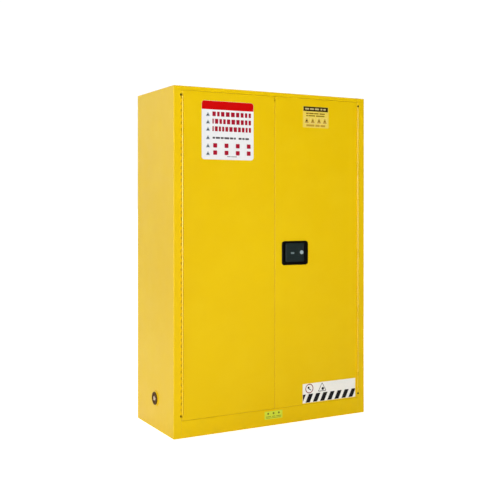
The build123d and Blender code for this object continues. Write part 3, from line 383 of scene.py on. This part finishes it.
# ---------------------------------------------------------------------------
# Outlines: lists of (x, z) in millimetres
# ---------------------------------------------------------------------------
def rounded(x0, x1, z0, z1, radius, steps):
    """Rounded rectangle, counter-clockwise from its right side, top corners first."""
    points = []
    for cx, cz, start in ((x1 - radius, z1 - radius, 0), (x0 + radius, z1 - radius, 90),
                          (x0 + radius, z0 + radius, 180), (x1 - radius, z0 + radius, 270)):
        for k in range(steps + 1):
            angle = math.radians(start + 90 * k / steps)
            points.append((cx + radius * math.cos(angle), cz + radius * math.sin(angle)))
    return points


def circle(cx, cz, radius, steps):
    return [(cx + radius * math.cos(2 * math.pi * k / steps),
             cz + radius * math.sin(2 * math.pi * k / steps)) for k in range(steps)]


def triangle(cx, z0, half, height, radius):
    """Triangle with rounded corners, standing on z0."""
    steps = 5
    corners = [Vector(p) for p in ((cx - half, z0), (cx + half, z0), (cx, z0 + height))]
    points = []
    for i, corner in enumerate(corners):
        to_last = (corners[i - 1] - corner).normalized()
        to_next = (corners[(i + 1) % 3] - corner).normalized()
        half_angle = to_last.angle(to_next) / 2
        reach = radius / math.tan(half_angle)
        centre = corner + (to_last + to_next).normalized() * (radius / math.sin(half_angle))
        first = corner + to_last * reach - centre
        last = corner + to_next * reach - centre
        start, end = math.atan2(first.y, first.x), math.atan2(last.y, last.x)
        while end < start:
            end += 2 * math.pi
        if end - start > math.pi:
            end -= 2 * math.pi
        for k in range(steps + 1):
            angle = start + (end - start) * k / steps
            points.append((centre.x + radius * math.cos(angle),
                           centre.y + radius * math.sin(angle)))
    return points


def clip(points, x0, x1):
    """Cuts a convex outline to x0..x1."""
    for limit, sign in ((x0, 1), (x1, -1)):
        kept = []
        for a, b in zip(points, points[1:] + points[:1]):
            a_in, b_in = (a[0] - limit) * sign >= 0, (b[0] - limit) * sign >= 0
            if a_in:
                kept.append(a)
            if a_in != b_in:
                t = (limit - a[0]) / (b[0] - a[0])
                kept.append((limit, a[1] + t * (b[1] - a[1])))
        points = kept
    return points


# ---------------------------------------------------------------------------
# Labels: a film on the cabinet's front with thin raised print
# ---------------------------------------------------------------------------
MM = 0.001
FRONT = -0.230                   # y of the door and sill faces, metres
FILM_FACE = FRONT - 0.00030
INK_FACE = FILM_FACE - 0.00007
INK_BACK = FILM_FACE + 0.00004   # just inside the film
OVERPRINT = INK_FACE - 0.00005   # face of print laid over other print

FILMS = {name: print_film(name, base) for name, base in {
    "film_white": (0.815, 0.820, 0.825),
    "film_warm_white": (0.86, 0.845, 0.805),
    "ink_red": (0.585, 0.0008, 0.0008),
    "ink_faded_red": (0.27, 0.040, 0.045),
    "ink_dark_red": (0.36, 0.0040, 0.0200),
    "ink_black": (0.012, 0.010, 0.012),
    "ink_grey": (0.085, 0.075, 0.080),
    "ink_pale_grey": (0.42, 0.47, 0.52),
    "film_gold": (0.80, 0.61, 0.095),
    "ink_cream": (0.84, 0.70, 0.36),
    "ink_brown": (0.036, 0.019, 0.0012),
    "ink_ochre": (0.215, 0.130, 0.006),
    "ink_tan": (0.52, 0.315, 0.045),
    "ink_khaki": (0.56, 0.47, 0.20),
    "film_lime": (0.62, 0.70, 0.05),
    "ink_olive": (0.16, 0.18, 0.02),
}.items()}


def add_object(name, bm, materials):
    mesh = bpy.data.meshes.new(name)
    bm.to_mesh(mesh)
    bm.free()
    for material in materials:
        mesh.materials.append(material)
    obj = bpy.data.objects.new(name, mesh)
    scene.collection.objects.link(obj)
    return obj


class Label:
    """A label being drawn in millimetres; slots names its materials, the film first."""

    def __init__(self, slots, outline, shift=0.0):
        self.bm = bmesh.new()
        self.slots = slots.split()
        self.shift = shift       # sideways offset of the whole label, millimetres
        self.ink(outline, self.slots[0], FILM_FACE, FRONT)

    def ring(self, points, y):
        return [self.bm.verts.new(((px + self.shift) * MM, y, pz * MM)) for px, pz in points]

    def ink(self, points, slot, y_front=INK_FACE, y_back=INK_BACK):
        """A closed prism from an outline."""
        area = sum(a[0] * b[1] - b[0] * a[1] for a, b in zip(points, points[1:] + points[:1]))
        if area < 0:
            points = points[::-1]
        front, back = self.ring(points, y_front), self.ring(points, y_back)
        faces = [self.bm.faces.new(front), self.bm.faces.new(back[::-1])]
        for i in range(len(points)):
            j = (i + 1) % len(points)
            faces.append(self.bm.faces.new((front[i], back[i], back[j], front[j])))
        for face in faces:
            face.material_index = self.slots.index(slot)

    def band(self, outer, inner, slot):
        """A closed loop of print between two outlines with the same number of points."""
        rows = [self.ring(points, y) for points, y in (
            (outer, INK_FACE), (inner, INK_FACE), (inner, INK_BACK), (outer, INK_BACK))]
        for i in range(len(outer)):
            j = (i + 1) % len(outer)
            for a, b in ((0, 1), (1, 2), (2, 3), (3, 0)):
                face = self.bm.faces.new((rows[a][i], rows[a][j], rows[b][j], rows[b][i]))
                face.material_index = self.slots.index(slot)

    def bars(self, spans, z0, z1, slot, radius=0.8):
        """A row of rounded bars, one for each (x0, x1)."""
        for x0, x1 in spans:
            fitted = min(radius, (x1 - x0) / 2.01, (z1 - z0) / 2.01)
            self.ink(rounded(x0, x1, z0, z1, fitted, 3), slot)

    def build(self, name, body, replaces):
        bmesh.ops.recalc_face_normals(self.bm, faces=self.bm.faces)
        obj = add_object(name, self.bm, [FILMS[film] for film in self.slots])
        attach(obj, body)
        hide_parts(replaces)


def sign_panel():
    """Large panel on the left door: red heading over rows of plain blocks."""
    left, right, bottom, top = -397.4, -117.2, 1308.7, 1588.5
    corner, margin = 14, 0.6
    label = Label("film_white ink_red ink_dark_red ink_black ink_grey ink_pale_grey",
                  rounded(left, right, bottom, top, corner, 10), shift=-3.7)
    head_left, head_right, head_bottom = left + margin, right - margin, top - 41.5
    upper_corners = rounded(head_left, head_right, bottom, top - margin,
                            corner - margin, 10)[:22]
    label.ink(upper_corners + [(head_left, head_bottom), (head_right, head_bottom)], "ink_red")

    bullet_x = -364.4
    for z in (1524.3, 1488.6, 1453.9, 1414.1, 1375.3, 1338.6):
        label.ink(triangle(bullet_x, z - 10.5, 12.5, 21.5, 1.6), "ink_pale_grey")
        label.ink(triangle(bullet_x, z - 7.4, 6.6, 12.0, 1.4), "ink_black",
                  INK_FACE - 0.00004)

    # rows of blocks spread evenly between two margins: bottom, top, block widths
    row_left, row_right = -341.0, -131.3
    for z0, z1, widths in (
        (1515.3, 1537.7, (18, 13.5, 18.9, 20.7, 20.7, 18, 16.2, 13.5, 13.5)),
        (1479.6, 1503.0, (7.2, 17.1, 13.5, 13.5, 18, 19.8, 18, 16.2, 13.5, 13.5)),
        (1443.9, 1467.2, (7.2, 15.3, 11.7, 11.7, 15.3, 18, 18, 15.3, 14.4, 11.7, 12.6)),
    ):
        gap = (row_right - row_left - sum(widths)) / (len(widths) - 1)
        x = row_left
        for width in widths:
            label.bars([(x, x + width)], z0, z1, "ink_dark_red", 1.6)
            x += width + gap

    # one row of thin bars in two groups
    x = -340.0
    for widths in ((13.2, 22.88, 15.84, 26.4, 18.48, 10.56), (16.72, 13.2, 20.24)):
        for width in widths:
            label.bars([(x, x + width)], 1407.5, 1417.0, "ink_grey", 3.0)
            x += width + 3.6
        x += 11

    half = 10.6                  # two rows of plain squares
    for z in (1376.0, 1341.6):
        spans = [(x - half, x + half) for x in (-326.2, -265.5, -204.3, -144.0)]
        label.bars(spans, z - half, z + half, "ink_dark_red", 3.2)
    label.bars([(-262, -243), (-240, -209)], 1322.4, 1325.4, "ink_grey")
    label.build("sign_panel", "left_door", "sign_label")


def caution_panel():
    """Small golden panel on the right door: heading, two lines, four framed triangles."""
    label = Label("film_gold ink_brown ink_cream ink_ochre ink_khaki ink_tan",
                  rounded(167.4, 323.0, 1483.7, 1591.8, 3.0, 5), shift=-3.3)
    label.bars([(171.0, 319.4)], 1567.2, 1590.6, "ink_brown", 1.0)
    for x0, x1 in ((181, 204.5), (210, 233), (239, 264.5), (273.5, 285), (291, 306)):
        label.ink(rounded(x0, x1, 1575.0, 1583.0, 2.6, 4), "ink_khaki",
                  OVERPRINT, INK_FACE + 0.00003)
    for z, spans in ((1556.1, ((187, 202), (205, 232), (235, 262), (268, 300))),
                     (1544.5, ((188, 198), (201, 240), (246, 298)))):
        label.bars(spans, z - 3.0, z + 3.0, "ink_ochre", 1.4)
    half, line = 13.0, 1.1       # half width and line width of a frame
    z0, z1 = 1505.5, 1534.5
    for x, dot in ((190.6, "ink_brown"), (226.5, "ink_ochre"),
                   (264.5, "ink_ochre"), (300.0, "ink_ochre")):
        inner = half - line
        label.band(rounded(x - half, x + half, z0, z1, 1.5, 3),
                   rounded(x - inner, x + inner, z0 + line, z1 - line, 0.8, 3), "ink_cream")
        label.ink(triangle(x, 1507.4, half, 26.0, 1.2), "ink_tan")
        label.ink(circle(x, 1519.0, 4.6, 24), dot, OVERPRINT)
    label.bars(((188, 236), (243, 268), (274, 302)), 1490.0, 1500.0, "ink_tan", 1.4)
    label.build("caution_panel", "right_door", "caution_label")


def striped_panel():
    """Panel at the foot of the right door: slanted stripes under a ring and a triangle."""
    left, right = 163.0, 487.4
    label = Label("film_warm_white ink_black ink_faded_red ink_grey ink_pale_grey",
                  rounded(left, right, 88.0, 185.7, 2.0, 4))
    first, pitch, width, lean = 135.6, 44.06, 25.5, 20.5
    z0, z1, margin = 89.7, 131.8, 1.2
    for k in range(8):
        x = first + pitch * k
        stripe = [(x, z0), (x + width, z0), (x + width + lean, z1), (x + lean, z1)]
        label.ink(clip(stripe, left + margin, right - margin), "ink_black")

    # thin ring round a plain blob with a short slanted bar
    cx, cz = 203.0, 159.4
    label.band(circle(cx, cz, 24.0, 72), circle(cx, cz, 19.6, 72), "ink_faded_red")
    label.ink(circle(cx - 5.0, cz + 4.6, 6.0, 28), "ink_black")
    slant = math.radians(-38)
    ux, uz = math.cos(slant), math.sin(slant)
    ends = ((-9.0, -2.2), (10.5, -2.2), (10.5, 2.2), (-9.0, 2.2))     # along, across
    label.ink([(cx + 1 + ux * s + uz * t, cz - 3 + uz * s - ux * t) for s, t in ends],
              "ink_grey", OVERPRINT)

    # triangle outline with a dot
    label.band(triangle(280.5, 138.4, 26.0, 45.6, 3.0),
               triangle(280.5, 141.6, 20.8, 36.8, 1.6), "ink_grey")
    label.ink(circle(284.5, 151.6, 7.6, 28), "ink_black")
    label.build("striped_panel", "right_door", "hazard_label")


def lime_panel():
    """Small panel on the sill: three dots over short bars."""
    label = Label("film_lime ink_olive ink_cream", rounded(-58.7, 43.9, 32.0, 71.5, 2.0, 4))
    for x in (-38.0, -7.4, 23.0):
        label.ink(circle(x, 60.0, 5.2, 28), "ink_olive")
    label.bars(((-50, -22), (-16, 2), (8, 36)), 43.6, 46.4, "ink_olive", 1.0)
    label.bars([(-50, 34)], 37.0, 39.0, "ink_olive")
    label.build("lime_panel", "carcass", "sill_label")


sign_panel()
caution_panel()
striped_panel()
lime_panel()

# ---------------------------------------------------------------------------
# Studio: white behind and to the left, darker to the front right, so that
# the side panel takes a pale sheen and the doors keep their full colour
# ---------------------------------------------------------------------------
LIT_X, LIT_Y = -0.52, 0.84       # direction of the room's white side


def floor_material():
    mat = Material("studio_white")
    ray = mat.node("ShaderNodeLightPath").outputs
    tone = mat.patches(scale=0.8, detail=2.0, rough=0.5, span=(0.3, 0.7))
    pale = mat.mix(tone, (0.86, 0.86, 0.86), (0.88, 0.88, 0.88))
    # what polished surfaces see of the floor follows the room
    lit = mat.ramp(mat.dot(mat.object_xyz, (LIT_X, LIT_Y, 0.0)), span=(-0.6, 0.4), smooth=True)
    unlit = mat.times(ray["Is Glossy Ray"], mat.math("SUBTRACT", 1.0, lit))
    col = mat.mix(unlit, pale, (0.06, 0.06, 0.06))
    distance = mat.node("ShaderNodeVectorMath", {0: mat.object_xyz}, operation="LENGTH")
    # the camera sees a glow that grows away from the cabinet
    glow = mat.ramp(distance.outputs["Value"], span=(0.8, 3.6), to=(0.85, 1.0), smooth=True)
    seen = mat.times(ray["Is Camera Ray"], glow)
    mirrored = mat.times(mat.times(ray["Is Glossy Ray"], lit), 0.60)
    return mat.done(col, rough=0.9, Specular_IOR_Level=0.1, Emission_Color=(1, 1, 1),
                    Emission_Strength=mat.math("ADD", seen, mirrored))


def floor():
    bm = bmesh.new()
    corners = ((-60, -12, 0), (60, -12, 0), (60, 160, 0), (-60, 160, 0))
    bm.faces.new([bm.verts.new(p) for p in corners])
    add_object("studio_floor", bm, [floor_material()])


def room():
    """World that lights by direction but shows the camera an even white."""
    scene.world = bpy.data.worlds.new("studio")
    world = Nodes(scene.world)
    direction = world.node("ShaderNodeTexCoord").outputs["Generated"]
    strength = world.ramp(world.dot(direction, (LIT_X, LIT_Y, 0.14)),
                          span=(0.10, 0.90), to=(0.01, 1.3), smooth=True)
    lighting, backdrop = [
        world.node("ShaderNodeBackground", {"Color": (1, 1, 1), "Strength": level}).outputs[0]
        for level in (strength, 1.05)]
    is_camera = world.node("ShaderNodeLightPath").outputs["Is Camera Ray"]
    mixed = world.node("ShaderNodeMixShader", {0: is_camera, 1: lighting, 2: backdrop})
    world.node("ShaderNodeOutputWorld", {0: mixed.outputs[0]})


# name, location, target, power in watts, width, height (None: square), seen in reflections
# The fills reach only the right side, the lid and the back, and give no glare edge on.
LIGHTS = [
    ("key", (-3.86, -8.9, 0.8), (0, 0, 0.60), 1030, 4.6, 3.6, True),
    ("top", (-0.6, -2.6, 4.6), (0.0, -0.2, 0.6), 2, 3.0, 2.0, True),
    ("left_wash", (-6.0, -0.8, 1.4), (-0.5, 0, 0.7), 44, 2.6, 3.4, True),
    ("right_fill", (4.4, 1.3, 1.3), (0.54, 0.0, 0.8), 76, 1.2, 1.8, False),
    ("lid_fill", (0.0, 0.6, 4.4), (0.0, 0.0, 1.65), 35, 0.9, None, False),
    ("back_fill", (0.4, 4.3, 1.3), (0.0, 0.2, 0.85), 30, 1.0, 1.6, False),
]


def area_light(name, location, target, power, width, height, glossy):
    light = bpy.data.lights.new(name, "AREA")
    light.energy = power
    light.size = width
    if height:
        light.shape = "RECTANGLE"
        light.size_y = height
    obj = bpy.data.objects.new(name, light)
    scene.collection.objects.link(obj)
    obj.location = location
    obj.rotation_mode = "QUATERNION"
    obj.rotation_quaternion = (Vector(target) - Vector(location)).to_track_quat("-Z", "Y")
    obj.visible_glossy = glossy


def camera():
    """Level camera at the front left; the shift keeps the uprights parallel."""
    data = bpy.data.cameras.new("camera")
    data.sensor_width = 36.0
    data.lens = 60.61
    data.shift_y = -0.0928
    data.clip_end = 200
    obj = bpy.data.objects.new("camera", data)
    scene.collection.objects.link(obj)
    obj.location = (-2.112, -3.8342, 1.0982)
    obj.rotation_euler = (math.radians(90), 0, math.radians(-28.68))
    scene.camera = obj


floor()
room()
for light_row in LIGHTS:
    area_light(*light_row)
camera()

scene.view_settings.view_transform = "Standard"
scene.view_settings.look = "None"
scene.view_settings.exposure = 0.0
scene.view_settings.gamma = 1.0
